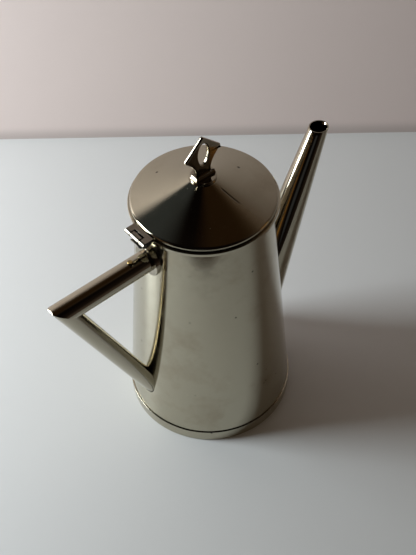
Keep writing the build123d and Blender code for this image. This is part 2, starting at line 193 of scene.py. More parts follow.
def mesh_object(name: str, points: np.ndarray, faces: np.ndarray) -> bpy.types.Object:
    """Makes an object of a closed surface, with its poles merged and its faces pointing outwards.

    Args:
        name: The piece's name.
        points: Points in millimetres, with a last dimension of 3.
        faces: Corner numbers, one row for each face.

    Returns:
        The object, at the origin, shaded smooth but for its sharp edges.
    """
    mesh = bpy.data.meshes.new(name)
    mesh.from_pydata(points.reshape(-1, 3) * MM, [], faces.tolist())
    work = bmesh.new()
    work.from_mesh(mesh)
    bmesh.ops.remove_doubles(work, verts=work.verts, dist=MERGE_WIDTH * MM)
    bmesh.ops.dissolve_degenerate(work, edges=work.edges, dist=MERGE_WIDTH * MM)
    bmesh.ops.recalc_face_normals(work, faces=work.faces)
    work.to_mesh(mesh)
    work.free()
    mesh.polygons.foreach_set("use_smooth", np.ones(len(mesh.polygons), dtype=bool))
    mesh.set_sharp_from_angle(angle=SHARP_ANGLE)
    mesh.update()
    piece = bpy.data.objects.new(name, mesh)
    bpy.context.scene.collection.objects.link(piece)
    return piece


def turned(
    name: str,
    outline: np.ndarray,
    spindle: Spindle = Spindle(),
    turns: int = TURNS,
    closed: bool = True,
) -> bpy.types.Object:
    """Turns an outline of (radius, distance) once round a spindle.

    Args:
        name: The piece's name.
        outline: Points of the outline. Each coordinate may instead be an array over the turn's angles.
        spindle: The axis to turn round.
        turns: Steps once round.
        closed: False where the outline starts and ends on the axis.

    Returns:
        The piece.
    """
    angle = turn_angles(turns)[None, :]
    if outline.ndim == 2:
        outline = np.repeat(outline[:, None, :], turns, axis=1)
    points = spindle.place(outline[..., 1], outline[..., 0], np.broadcast_to(angle, outline.shape[:2]))
    return mesh_object(name, points, grid_faces(len(outline), turns, closed, True))


def ring(
    name: str,
    radii: tuple[float, float],
    extent: Extent,
    rounds: tuple[float, ...],
    guard: float = GUARD,
    turns: int = TURNS,
) -> bpy.types.Object:
    """Turns a ring about the pot's axis, with a section of four rounded corners.

    Args:
        name: The piece's name.
        radii: Inner and outer radius.
        extent: The extent that gives its lowest and highest level.
        rounds: Rounding radius of each corner, anticlockwise from the lower one of the bore.
        guard: As rounded_outline takes it.
        turns: Steps once round.

    Returns:
        The piece.
    """
    bore, side = radii
    low, high = extent.low[2], extent.high[2]
    corners = ((bore, low), (side, low), (side, high), (bore, high))
    outline = rounded_outline([(*corner, rounding) for corner, rounding in zip(corners, rounds)], guard)
    return turned(name, outline, turns=turns)


def arc(centre: tuple[float, float], radius: float, start: float, end: float, steps: int) -> np.ndarray:
    """Points of an arc.

    Args:
        centre: Its centre.
        radius: Its radius.
        start: Angle of its first point in degrees, from the first axis towards the second.
        end: Angle of its last point.
        steps: Number of points.

    Returns:
        The points.
    """
    turn = np.radians(np.linspace(start, end, steps))
    return np.array(centre) + radius * np.column_stack([np.cos(turn), np.sin(turn)])


def soften(piece: bpy.types.Object, width: float) -> None:
    """Bevels a piece's sharp edges.

    Args:
        piece: The piece.
        width: Width of the bevel in millimetres.
    """
    bevel = piece.modifiers.new("softened", "BEVEL")
    bevel.width = width * MM
    bevel.segments = 2
    bevel.limit_method = "ANGLE"
    bevel.angle_limit = SHARP_ANGLE
    bevel.harden_normals = True


def inward(outline: np.ndarray) -> np.ndarray:
    """Ways into an outline: the tangent at each point, turned a quarter turn to the left.

    Args:
        outline: Points of a closed anticlockwise outline.

    Returns:
        Unit directions, one for each point.
    """
    tangent = np.roll(outline, -1, axis=0) - np.roll(outline, 1, axis=0)
    tangent /= np.linalg.norm(tangent, axis=1, keepdims=True)
    return np.column_stack([-tangent[:, 1], tangent[:, 0]])


def evenly_spaced(outline: np.ndarray, count: int) -> np.ndarray:
    """Spaces an outline's points evenly along its run.

    Args:
        outline: Points of a closed outline.
        count: Number of points to put in their place.

    Returns:
        The new points.
    """
    loop = np.concatenate([outline, outline[:1]])
    run = np.concatenate([[0], np.cumsum(np.linalg.norm(np.diff(loop, axis=0), axis=1))])
    place = np.linspace(0, run[-1], count, endpoint=False)
    return np.column_stack([np.interp(place, run, loop[:, 0]), np.interp(place, run, loop[:, 1])])


def quarter_round(radius: float) -> np.ndarray:
    """Rounded edge as (inset, rise): inset = r(1 - cos t) and rise = r sin t, from the side to the face."""
    turn = np.linspace(0, math.pi / 2, ARC_STEPS + 1)
    return radius * np.column_stack([1 - np.cos(turn), np.sin(turn)])


def carried(
    name: str,
    profile: np.ndarray,
    sections: list[tuple[float, np.ndarray]],
    heart: tuple[float, float],
    width: float,
) -> bpy.types.Object:
    """Carries an upright profile of (x, z) along Y, with its x trimmed differently at each section.

    Args:
        name: The piece's name.
        profile: Points of the closed profile.
        sections: For each section, its y and the trimmed x of every point of the profile.
        heart: A point (x, z) that sees the whole profile, where the flat ends close.
        width: Bevel width of the edges.

    Returns:
        The piece.
    """
    stack = [np.column_stack([x, np.full(len(profile), y), profile[:, 1]]) for y, x in sections]
    ends = (sections[0][0], sections[-1][0])
    first, last = (np.tile([heart[0], y, heart[1]], (len(profile), 1)) for y in ends)
    points = np.stack([first, *stack, last])
    piece = mesh_object(name, points, grid_faces(len(points), len(profile), False, True))
    soften(piece, width)
    return piece


# ---------------------------------------------------------------- finishes


def linear(colour: str) -> tuple[float, float, float, float]:
    """Turns an sRGB colour into a linear one: v / 12.92 where dark, ((v + 0.055) / 1.055)^2.4 above.

    Args:
        colour: The colour as a hash sign and six hex digits.

    Returns:
        Red, green, blue and an alpha of 1.
    """
    value = np.array([int(colour[i : i + 2], 16) for i in (1, 3, 5)]) / 255
    low = value / 12.92
    high = ((value + 0.055) / 1.055) ** 2.4
    return (*np.where(value <= 0.04045, low, high).tolist(), 1.0)


def feed(tree: bpy.types.NodeTree, node: bpy.types.Node, inputs: dict) -> None:
    """Sets or links a node's inputs.

    Args:
        tree: The tree that holds the node.
        node: The node.
        inputs: Input name or number to a value, to the socket that feeds it, or to the node whose first
            working output feeds it.
    """
    for key, value in inputs.items():
        if isinstance(value, bpy.types.Node):
            value = next(socket for socket in value.outputs if socket.enabled)
        if isinstance(value, bpy.types.NodeSocket):
            tree.links.new(value, node.inputs[key])
        else:
            node.inputs[key].default_value = value


def add_node(tree: bpy.types.NodeTree, kind: str, inputs: dict | None = None, **settings) -> bpy.types.Node:
    """Adds a shader node with its settings, and sets or links its inputs.

    Args:
        tree: The tree that the node goes into.
        kind: The node's type, without its ShaderNode prefix.
        inputs: What its inputs get, as feed takes it.
        **settings: The node's own settings.

    Returns:
        The node.
    """
    node = tree.nodes.new(f"ShaderNode{kind}")
    for key, value in settings.items():
        setattr(node, key, value)
    feed(tree, node, inputs or {})
    return node


def per_metre(size_mm: float) -> float:
    """Texture scale at which one feature is this many millimetres wide."""
    return 1 / (size_mm * MM)


class Lay(Enum):
    """Way that the fine polishing lines run on a piece, as a stretch of the pattern along each axis."""

    UPRIGHT = (1.0, 1.0, 0.03)
    LEVEL = (0.05, 1.0, 1.0)
    EVEN = (1.0, 1.0, 1.0)


@dataclass(frozen=True)
class Spots:
    """Small round spots, each in its own cell.

    Attributes:
        spacing: Width of a cell in millimetres.
        least: Cell value below which a cell stays empty. The values run from 0 to 1.
        size: Radius of the largest spot, as a share of a cell.
        growth: How much the cell value rises from no spot to the largest.
        steepness: Height of a spot before it is cut off at 1, so that its middle is flat.
    """

    spacing: float
    least: float = 0.5
    size: float = 0.11
    growth: float = 0.2
    steepness: float = 1.6

    def mask(self, tree: bpy.types.NodeTree, place: bpy.types.NodeSocket) -> bpy.types.Node:
        """Mask of the spots.

        Args:
            tree: The material's nodes.
            place: The point on the piece.

        Returns:
            The mask, which rises to 1 in the middle of a spot.
        """
        cells = add_node(tree, "TexVoronoi", {"Vector": place, "Scale": per_metre(self.spacing)})
        most = self.least + self.growth
        value = {"Value": cells.outputs["Color"], "From Min": self.least, "From Max": most}
        radius = add_node(tree, "MapRange", {**value, "To Max": self.size})
        away = {"Value": cells.outputs["Distance"], "From Min": radius, "From Max": 0.0}
        depth = add_node(tree, "MapRange", {**away, "To Max": self.steepness})
        return add_node(tree, "Math", {0: depth, 1: 1.0}, operation="MINIMUM")


@dataclass(frozen=True)
class Scratch:
    """One straight scratch, seen from above. Lengths are in millimetres.

    Attributes:
        start: One end (x, y).
        end: The other end (x, y).
        width: Width of the scratch. Its middle half is at full depth.
        taper: Length over which each end fades.
    """

    start: tuple[float, float]
    end: tuple[float, float]
    width: float = 0.9
    taper: float = 1.5

    def mask(self, tree: bpy.types.NodeTree, place: bpy.types.NodeSocket) -> bpy.types.Node:
        """Mask of the scratch: the product of a ramp across it and a ramp at its ends.

        Args:
            tree: The material's nodes.
            place: The point on the piece.

        Returns:
            The mask, which is 1 along the middle of the scratch.
        """
        start, end = (Vector((*point, 0)) * MM for point in (self.start, self.end))
        length = (end - start).length
        ahead = (end - start) / length
        beside = Vector((-ahead.y, ahead.x, 0))
        local = add_node(tree, "VectorMath", {0: place, 1: start}, operation="SUBTRACT")
        along, across = (
            add_node(tree, "VectorMath", {0: local, 1: way}, operation="DOT_PRODUCT")
            for way in (ahead, beside)
        )
        past = add_node(tree, "Math", {0: along, 1: length / 2}, operation="SUBTRACT")
        ramps = []
        for off, outer, inner in (
            (past, length / 2, length / 2 - self.taper * MM),
            (across, self.width * MM / 2, self.width * MM / 4),
        ):
            size = add_node(tree, "Math", {0: off}, operation="ABSOLUTE")
            ramps.append(add_node(tree, "MapRange", {"Value": size, "From Min": outer, "From Max": inner}))
        return add_node(tree, "Math", {0: ramps[0], 1: ramps[1]}, operation="MULTIPLY")


@dataclass(frozen=True)
class MetalFinish:
    """A polished metal, with polishing lines, soft dents, stains and dust. Lengths are in millimetres.

    Attributes:
        name: The material's name.
        colour: Colour of the bare metal, seen face on.
        tarnish: Colour of the thin brown film in the stains.
        gloss: Roughness of the brightest spots.
        wear: Roughness where the polish has gone dull.
        patch: Width of the stained patches. The dull ones are a third as wide.
        line: Spacing of the polishing lines.
        ripple: Width of the slow waves left by hammer and wheel.
        ripple_height: Height of those waves.
        tarnish_share: How far the film covers the metal where it is thickest.
        line_depth: Depth of the polishing lines.
        lay: The way that the polishing lines run.
        marks: Pits and scratches that hold a dark deposit.
        mark_depth: Depth of the marks.
        mark_strength: Strength of the marks' relief, as a share.
        dirt_and_shade: Colour of the deposit in the marks, and of the painted shade on the sides that face
            along Y.
        side_shade: Size of the normal's y where that painted shade on the sides starts and where it is full,
            or nothing.
        dust: Specks of dust.
        dust_roughness: Roughness of a speck of dust.
    """

    name: str
    colour: str
    tarnish: str
    gloss: float
    wear: float
    patch: float
    line: float
    ripple: float
    ripple_height: float
    tarnish_share: float = 0.5
    line_depth: float = 0.001
    lay: Lay = Lay.EVEN
    marks: tuple[Spots | Scratch, ...] = ()
    mark_depth: float = 0.1
    mark_strength: float = 0.6
    dirt_and_shade: str = "#2E2820"
    side_shade: tuple[float, float] | None = None
    dust: Spots = Spots(3.5, least=0.62, size=0.09)
    dust_roughness: float = 0.5

    def build(self) -> bpy.types.Material:
        """Makes the material.

        Returns:
            The material.
        """
        material = bpy.data.materials.new(self.name)
        material.use_nodes = True
        tree = material.node_tree
        place = add_node(tree, "TexCoord").outputs["Object"]
        film, dull = self._patches(tree, place)
        sunk = None
        for mark in self.marks:
            mask = mark.mask(tree, place)
            sunk = mask if sunk is None else add_node(tree, "Math", {0: sunk, 1: mask}, operation="MAXIMUM")
        share = add_node(tree, "Math", {0: film, 1: self.tarnish_share}, operation="MULTIPLY")
        # The last cover is painted shade: it darkens the sides that face along Y
        covers = [(share, self.tarnish), (sunk, self.dirt_and_shade), (self._side_shade_mask(tree), self.dirt_and_shade)]
        colour = linear(self.colour)
        for cover, paint in covers:
            if cover is not None:
                coat = {"Factor": cover, "A": colour, "B": linear(paint)}
                colour = add_node(tree, "Mix", coat, data_type="RGBA")
        rough = add_node(tree, "MapRange", {"Value": dull, "To Min": self.gloss, "To Max": self.wear})
        dust = self.dust.mask(tree, place)
        rough = add_node(tree, "MapRange", {"Value": dust, "To Min": rough, "To Max": self.dust_roughness})
        look = {"Metallic": 1.0, "Base Color": colour, "Roughness": rough}
        feed(tree, tree.nodes["Principled BSDF"], {**look, "Normal": self._relief(tree, place, sunk)})
        return material

    def _side_shade_mask(self, tree: bpy.types.NodeTree) -> bpy.types.Node | None:
        """Mask of the painted shade on the faces that face along Y.

        Args:
            tree: The material's nodes.

        Returns:
            The mask, or nothing where the metal has no painted shade on its sides.
        """
        if self.side_shade is None:
            return None
        normal = add_node(tree, "TexCoord").outputs["Normal"]
        across = add_node(tree, "SeparateXYZ", {"Vector": normal}).outputs["Y"]
        size = add_node(tree, "Math", {0: across}, operation="ABSOLUTE")
        start, full = self.side_shade
        return add_node(tree, "MapRange", {"Value": size, "From Min": start, "From Max": full})

    def _patches(self, tree: bpy.types.NodeTree, place: bpy.types.NodeSocket) -> list[bpy.types.Node]:
        """Soft masks of the tarnish film and of the dulled polish, each cut out of a cloudy noise.

        Args:
            tree: The material's nodes.
            place: The point on the piece.

        Returns:
            The two masks.
        """
        masks = []
        for width, detail, roughness, low, high in (
            (self.patch, 5.0, 0.62, 0.52, 0.78),
            (self.patch / 3, 6.0, 0.7, 0.35, 0.7),
        ):
            cloud = {"Vector": place, "Scale": per_metre(width), "Detail": detail, "Roughness": roughness}
            noise = add_node(tree, "TexNoise", cloud)
            masks.append(add_node(tree, "MapRange", {"Value": noise, "From Min": low, "From Max": high}))
        return masks

    def _relief(
        self, tree: bpy.types.NodeTree, place: bpy.types.NodeSocket, sunk: bpy.types.Node | None
    ) -> bpy.types.Node:
        """Surface direction from slow ripples, then polishing lines, then sunken marks.

        Args:
            tree: The material's nodes.
            place: The point on the piece.
            sunk: Mask of the marks, or nothing.

        Returns:
            The surface direction.
        """
        swell = {"Vector": place, "Scale": per_metre(self.ripple), "Detail": 2.0}
        waves = add_node(tree, "TexNoise", swell)
        drawn = add_node(tree, "Mapping", {"Vector": place, "Scale": self.lay.value})
        grain = {"Vector": drawn, "Scale": per_metre(self.line), "Detail": 3.0, "Roughness": 0.6}
        lines = add_node(tree, "TexNoise", grain)
        reliefs = [(waves, self.ripple_height, 1.0), (lines, self.line_depth, 1.0)]
        if sunk is not None:
            reliefs.append((sunk, self.mark_depth, self.mark_strength))
        under: dict = {}
        for height, depth, strength in reliefs:
            shape = {"Height": height, "Distance": depth * MM, "Strength": strength, **under}
            under = {"Normal": add_node(tree, "Bump", shape, invert=height is sunk)}
        return under["Normal"]


# Silver plate on nickel silver: a warm grey mirror, dulled in patches by years of wiping
WALL_FINISH = MetalFinish(
    name="worn_silver_plate",
    colour="#B5AF9C",
    tarnish="#85735A",
    tarnish_share=0.4,
    gloss=0.09,
    wear=0.2,
    patch=22,
    line=1.2,
    line_depth=0.0016,
    lay=Lay.UPRIGHT,
    ripple=26,
    ripple_height=0.012,
    marks=(Spots(7),),
)
# The lid is wiped less and keeps a clearer mirror
LID_FINISH = MetalFinish(
    name="bright_silver_plate",
    colour="#ABA592",
    tarnish="#7C6A52",
    tarnish_share=0.35,
    gloss=0.05,
    wear=0.13,
    patch=26,
    line=0.9,
    ripple=22,
    ripple_height=0.008,
    marks=(Spots(9), Scratch((2.4, -9.7), (5.1, -20.7))),
)
# Drawn tube, polished lengthwise
TUBE_FINISH = MetalFinish(
    name="polished_silver_tube",
    colour="#ACA593",
    tarnish="#7E6A4E",
    tarnish_share=0.3,
    gloss=0.04,
    wear=0.1,
    patch=18,
    line=0.8,
    line_depth=0.0003,
    lay=Lay.LEVEL,
    ripple=40,
    ripple_height=0.002,
    marks=(Spots(8),),
)
# Cast nickel silver, polished by hand, a little yellower than the plate
CAST_FINISH = MetalFinish(
    name="cast_nickel_silver",
    colour="#9C9483",
    tarnish="#6A563C",
    tarnish_share=0.45,
    gloss=0.06,
    wear=0.14,
    patch=9,
    line=0.7,
    ripple=9,
    ripple_height=0.002,
)
# The same casting on the hinge, browned where it is never wiped, with painted shade that makes its sides
# black
HINGE_FINISH = MetalFinish(
    name="browned_nickel_silver",
    colour="#837C70",
    tarnish="#4C4236",
    tarnish_share=0.6,
    gloss=0.1,
    wear=0.2,
    patch=7,
    line=0.7,
    ripple=9,
    ripple_height=0.002,
    # This near-black colour is painted shade on the hinge's sides, which face along Y
    dirt_and_shade="#15110C",
    side_shade=(0.6, 0.9),
)
# Turned brass: a duller and yellower mirror, for the grip's pin and the finial's nut
BRASS_FINISH = MetalFinish(
    name="turned_brass",
    colour="#A08A5A",
    tarnish="#5A4424",
    gloss=0.14,
    wear=0.28,
    patch=6,
    line=0.4,
    ripple=6,
    ripple_height=0.001,
)
# Drawn steel, made dark and dull so that the hinge's pin shows black in the slots between the knuckles, and
# for the finial's stud and washer
STEEL_FINISH = MetalFinish(
    name="drawn_steel",
    colour="#4A463F",
    tarnish="#26221C",
    gloss=0.3,
    wear=0.45,
    patch=6,
    line=0.4,
    ripple=6,
    ripple_height=0.002,
)


class Wardrobe:
    """Builds each finish once and dresses pieces in it."""

    def __init__(self) -> None:
        """Starts with no finish built."""
        self._built: dict[str, bpy.types.Material] = {}

    def dress(self, piece: bpy.types.Object, finish: MetalFinish) -> None:
        """Puts a finish into every material slot of a piece.

        Args:
            piece: The piece.
            finish: Its finish.
        """
        material = self._built.get(finish.name) or finish.build()
        self._built[finish.name] = material
        if not piece.material_slots:
            piece.data.materials.append(material)
        for slot in piece.material_slots:
            slot.material = material


@dataclass
class SubAssembly:
    """Pieces of the pot that are made and dressed together.

    Attributes:
        nodes: The frame's CAD objects.
        wardrobe: The finishes.
    """

    nodes: dict[str, bpy.types.Object]
    wardrobe: Wardrobe

    def _place(self, piece: bpy.types.Object, node: str, body: str, slot: str, finish: MetalFinish) -> None:
        """Lets a piece stand for a CAD node and dresses it.

        Args:
            piece: The piece.
            node: The CAD node that it stands for.
            body: The body that it moves with.
            slot: The node's material slot; not used.
            finish: The piece's finish.
        """
        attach(piece, body)
        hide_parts(node)
        self.wardrobe.dress(piece, finish)
        LOG.info("%s stands for %s", piece.name, node)

    def _dress_solids(self, finishes: dict[str, MetalFinish]) -> None:
        """Dresses CAD nodes that show as they are.

        Args:
            finishes: Node name to its finish.
        """
        for node, finish in finishes.items():
            self.wardrobe.dress(self.nodes[node], finish)
            LOG.info("dressed %s", node)


# ---------------------------------------------------------------- the pot's body


@dataclass
class PotBody(SubAssembly):
    """Foot band, floor, tapered wall and rim ring, all turned about the pot's axis.

    Attributes:
        foot_top: Height of the foot band's outer side.
        foot_round: Rounding of the foot band's lower edge.
        seam_round: Rounding of its upper edge, along the seam.
        ledge_width: Width of the ledge that the floor rests on.
        ledge_height: Height of that ledge.
        spigot_gap: Clearance between the spigot and the wall.
        spigot_wall: Wall of the spigot at its top.
        spigot_taper: How much narrower the spigot is at its top.
        bore_round: Rounding of the ledge's lower edge.
        edge_round: Rounding of the spigot's and the ledge's upper edges.
        floor_margin: Width of the floor's level edge.
        floor_rise: How much higher the floor's middle is.
        floor_thickness: Thickness of the floor.
        floor_steps: Points along the step in the floor.
        wall_thickness: Thickness of the wall.
        mouth_radius: Inner radius of the rim ring.
        rim_rounds: Rounding of the rim ring's four corners, as ring takes it.
        rim_guard: Distance from the rim's roundings to their guard points.
    """

    foot_top: float = 8.0
    foot_round: float = 0.9
    seam_round: float = 0.18
    ledge_width: float = 1.8
    ledge_height: float = 4.6
    spigot_gap: float = 0.05
    spigot_wall: float = 1.0
    spigot_taper: float = 0.3
    bore_round: float = 0.3
    edge_round: float = 0.2
    floor_margin: float = 5.0
    floor_rise: float = 2.4
    floor_thickness: float = 1.2
    floor_steps: int = 25
    wall_thickness: float = 1.2
    mouth_radius: float = 32.4
    rim_rounds: tuple[float, ...] = (0.1, 0.32, 0.32, 0.3)
    rim_guard: float = 0.05

    def build(self) -> None:
        """Makes and dresses the pieces."""
        self._place(self._foot_band(), "foot_ring", "pot", "ring_metal", WALL_FINISH)
        self._place(self._floor(), "floor_plate", "pot", "wall_metal", WALL_FINISH)
        self._place(self._rim(), "rim_ring", "pot", "ring_metal", WALL_FINISH)
        self._dress_solids({"body_shell": WALL_FINISH})

    def _foot_band(self) -> bpy.types.Object:
        """A band with a softened foot, and a spigot up inside the wall.

        Returns:
            The piece.
        """
        extent = Extent.of("foot_ring")
        radius, top = extent.high[0], extent.high[2]
        spigot = Extent.of("body_shell").high[0] - self.wall_thickness - self.spigot_gap
        bore = spigot - self.spigot_taper - self.spigot_wall
        corners = [
            (bore - self.ledge_width, 0, self.bore_round),
            (radius, 0, self.foot_round),
            (radius, self.foot_top, self.seam_round),
            (spigot, self.foot_top, 0),
            (spigot - self.spigot_taper, top, self.edge_round),
            (bore, top, self.edge_round),
            (bore, self.ledge_height, 0),
            (bore - self.ledge_width, self.ledge_height, self.edge_round),
        ]
        return turned("foot_band", rounded_outline(corners))

    def _floor(self) -> bpy.types.Object:
        """A pressed disc: height = rise x (1 + cos(pi x t)) / 2 over the step, and level on both sides.

        Returns:
            The piece.
        """
        extent = Extent.of("floor_plate")
        radius = extent.high[0]
        step_end = radius - self.floor_margin
        step_start = step_end - 2 * self.floor_rise
        share = np.linspace(0, 1, self.floor_steps)
        step = step_start + share * (step_end - step_start)
        rise = self.floor_rise * (1 + np.cos(math.pi * share)) / 2
        under = np.column_stack([step, self.ledge_height + rise])
        start = np.array([[0, self.ledge_height + self.floor_rise]])
        edge = np.array([[radius, self.ledge_height]])
        lower = np.concatenate([start, under, edge])
        upper = (lower + np.array([0, self.floor_thickness]))[::-1]
        return turned("pressed_floor", np.concatenate([lower, upper]), closed=False)

    def _rim(self) -> bpy.types.Object:
        """A flat ring with an upright outer side and softened edges.

        Returns:
            The piece.
        """
        extent = Extent.of("rim_ring")
        radii = (self.mouth_radius, extent.high[0])
        return ring("rim_bead", radii, extent, self.rim_rounds, self.rim_guard)


# ---------------------------------------------------------------- the lid


@dataclass
class Lid(SubAssembly):
    """Edge ring, spun shell, bezel and finial, which swing together on the hinge.

    Attributes:
        sheet: Thickness of the lid's sheet.
        top_radius: Radius of the cone's upper end, under the finial.
        hollow: How far the cone's side sinks below a straight line, halfway up.
        hollow_steps: Points along the cone's side.
        slope_steps: Steps from the cone's edge over which its slope there is taken.
        side_radius: Radius of the sheet's turned-down edge.
        side_round: Rounding between that edge and the cone.
        side_steps: Points along that rounding.
        side_gap: Least distance from the rounding to the cone's next point.
        lip_width: Width of the turned-down edge.
        stud_hole: Radius of the hole for the finial's stud.
        ring_radius: Outer radius of the edge ring.
        ring_rounds: Rounding of the edge ring's four corners, as ring takes it.
        ring_guard: Distance from the edge ring's roundings to their guard points.
        bezel_gap: Clearance between the bezel and the edge ring.
        bezel_wall: Wall of the bezel.
        bezel_rounds: Rounding of the bezel's four corners.
        foot_rounds: Rounding of the finial foot's four corners.
        foot_guard: Distance from the finial foot's roundings to their guard points.
        foot_turns: Steps once round the finial's foot.
        plinth_height: Height of the plinth under the blade.
        plinth_half: Half its length and half its width.
        plinth_round: Rounding of its upright edges.
        plinth_side: Inset and height of points up its side, past the groove.
        plinth_crown: Inset of points over its upper edge, and their depth below the top.
        blade_half_thickness: Half the blade's thickness.
        blade_round: Rounding of the blade's outer edge.
        blade_corner_round: Rounding of the shoulders and the tip, seen from the front.
        blade_points: Points round the blade's outline.
        blade_sink: How far the blade reaches into the plinth.
        blade_guard: Distance from the edges' roundings to the flat faces' guard points.
        neck_half_width: Half the blade's width at its neck.
        neck_rise: Height above the plinth of the point that the hollow sides bend towards.
        neck_steps: Points along a hollow side.
        tip_steps: Steps by which a hollow side stops short of its shoulder.
        shoulder_rise: Height of the shoulders above the plinth.
        eye_half: Half the eye's width and half its height.
        eye_rise: Height of the eye's centre above the plinth.
        eye_round: Rounding of the eye's edge.
    """

    sheet: float = 1.1
    top_radius: float = 6.8
    hollow: float = 0.4
    hollow_steps: int = 121
    slope_steps: int = 6
    side_radius: float = 35.85
    side_round: float = 1.3
    side_steps: int = 9
    side_gap: float = 0.05
    lip_width: float = 1.2
    stud_hole: float = 1.55
    ring_radius: float = 35.9
    ring_rounds: tuple[float, ...] = (0.1, 0.2, 0.08, 0)
    ring_guard: float = 0.02
    bezel_gap: float = 0.05
    bezel_wall: float = 1.0
    bezel_rounds: tuple[float, ...] = (0.35, 0.35, 0.05, 0.05)
    foot_rounds: tuple[float, ...] = (0.05, 0.1, 0.6, 0.05)
    foot_guard: float = 0.05
    foot_turns: int = 128
    plinth_height: float = 2.1
    plinth_half: tuple[float, float] = (5.9, 2.5)
    plinth_round: float = 0.3
    plinth_side: tuple[tuple[float, float], ...] = (
        (0.0, 0.0),
        (0.0, 0.7),
        (0.12, 0.85),
        (0.4, 0.92),
        (0.45, 1.0),
        (0.4, 1.1),
        (0.35, 1.2),
    )
    plinth_crown: tuple[tuple[float, float], ...] = ((0.35, 0.4), (0.4, 0.2), (0.55, 0.06), (0.8, 0.0))
    blade_half_thickness: float = 1.0
    blade_round: float = 0.75
    blade_corner_round: float = 0.9
    blade_points: int = 480
    blade_sink: float = 0.5
    blade_guard: float = 0.08
    neck_half_width: float = 4.3
    neck_rise: float = 5.8
    neck_steps: int = 41
    tip_steps: int = 3
    shoulder_rise: float = 11.3
    eye_half: tuple[float, float] = (3.05, 6.2)
    eye_rise: float = 11.2
    eye_round: float = 0.6

    def build(self) -> None:
        """Makes and dresses the pieces."""
        for piece, node in (
            (self._edge_ring(), "lid_edge_ring"),
            (self._shell(), "lid_shell"),
            (self._bezel(), "lid_bezel"),
        ):
            self._place(piece, node, "lid", "lid_metal", LID_FINISH)
        for piece, node in (
            (self._finial_foot(), "finial_foot"),
            (self._finial_blade(), "finial_blade"),
            (self._finial_plinth(), "finial_blade"),
        ):
            self._place(piece, node, "lid", "finial_metal", CAST_FINISH)
        fixing = {"finial_stud": STEEL_FINISH, "finial_washer": STEEL_FINISH, "finial_nut": BRASS_FINISH}
        self._dress_solids(fixing)

    def _edge_ring(self) -> bpy.types.Object:
        """A stiffening ring under the sheet, almost flush with the sheet's turned-down edge.

        Returns:
            The piece.
        """
        bore = Extent.of("lid_bezel").high[0] + self.bezel_gap
        extent = Extent.of("lid_edge_ring")
        return ring("lid_edge_bead", (bore, self.ring_radius), extent, self.ring_rounds, self.ring_guard)

    def _shell(self) -> bpy.types.Object:
        """A spun cone with hollow sides and an edge turned down over the ring.

        The drop below the straight cone is hollow x 4t(1 - t), with t from edge to top. An arc of side_round
        joins the cone to the upright edge. It turns through the angle between the two, so it meets both
        without a crease. The cone's slope there is taken over its first few steps.

        Returns:
            The piece.
        """
        extent = Extent.of("lid_shell")
        bead = self.sheet / 2
        edge = extent.high[0] - bead
        top = extent.high[2]
        edge_height = extent.low[2] + self.sheet
        share = np.linspace(0, 1, self.hollow_steps)
        radius = edge + share * (self.top_radius - edge)
        height = edge_height + share * (top - edge_height) - self.hollow * 4 * share * (1 - share)
        near = self.slope_steps
        slope = math.atan((height[near] - height[0]) / (radius[0] - radius[near]))
        corner = np.interp(self.side_radius, radius[::-1], height[::-1])
        sweep = math.pi / 2 - slope
        drop = self.side_round * math.tan(sweep / 2)
        middle = (self.side_radius - self.side_round, corner - drop)
        bend = arc(middle, self.side_round, 0, math.degrees(sweep), self.side_steps)
        cone = np.column_stack([radius, height])
        cone = cone[radius < bend[-1, 0] - self.side_gap]
        hole = np.array([[self.stud_hole, top], [self.stud_hole, top - self.sheet]])
        inner = (cone - np.array([0, self.sheet]))[::-1]
        lip = self.side_radius - self.lip_width
        inside = inner[inner[:, 0] < lip]
        foot = np.array([[lip, extent.low[2]], [self.side_radius, extent.low[2]]])
        return turned("spun_lid", np.concatenate([bend, cone, hole, inside, foot]))

    def _bezel(self) -> bpy.types.Object:
        """The short tube that drops into the pot's mouth.

        Returns:
            The piece.
        """
        extent = Extent.of("lid_bezel")
        radii = (extent.high[0] - self.bezel_wall, extent.high[0])
        return ring("lid_collar", radii, extent, self.bezel_rounds)

    def _finial_foot(self) -> bpy.types.Object:
        """The turned disc under the finial's plinth.

        Returns:
            The piece.
        """
        extent = Extent.of("finial_foot")
        radii = (self.stud_hole, extent.high[0])
        return ring("finial_base", radii, extent, self.foot_rounds, self.foot_guard, self.foot_turns)

    def _finial_blade(self) -> bpy.types.Object:
        """A flat spade with an oval eye, whose edges are all filed round.

        Its hollow sides are (1-t)^2 A + 2t(1-t) B + t^2 C, from the neck A to the shoulder C. Every point of
        the outline, moved inwards and forwards over a quarter circle, gives the rounded edge, and the faces
        run flat from there to the eye, whose points lie in the same direction from the eye's centre.

        Returns:
            The piece.
        """
        extent = Extent.of("finial_blade")
        foot = extent.low[2] + self.plinth_height
        shoulder = (extent.high[0], foot + self.shoulder_rise)
        share = np.linspace(0, 1, self.neck_steps)[:, None]
        neck = np.array([self.neck_half_width, foot])
        bend = np.array([self.neck_half_width, foot + self.neck_rise])
        side = (1 - share) ** 2 * neck + 2 * share * (1 - share) * bend + share**2 * np.array(shoulder)
        # The two sides stop short of the shoulders, where the rounded tip takes over
        last, side = side[-self.tip_steps], side[: -self.tip_steps]
        mirror = np.array([-1, 1])
        tip = rounded_outline(
            [
                (*last, 0),
                (*shoulder, self.blade_corner_round),
                (0, extent.high[2], self.blade_corner_round),
                (-shoulder[0], shoulder[1], self.blade_corner_round),
                (*(last * mirror), 0),
            ],
            guard=0.0,
        )
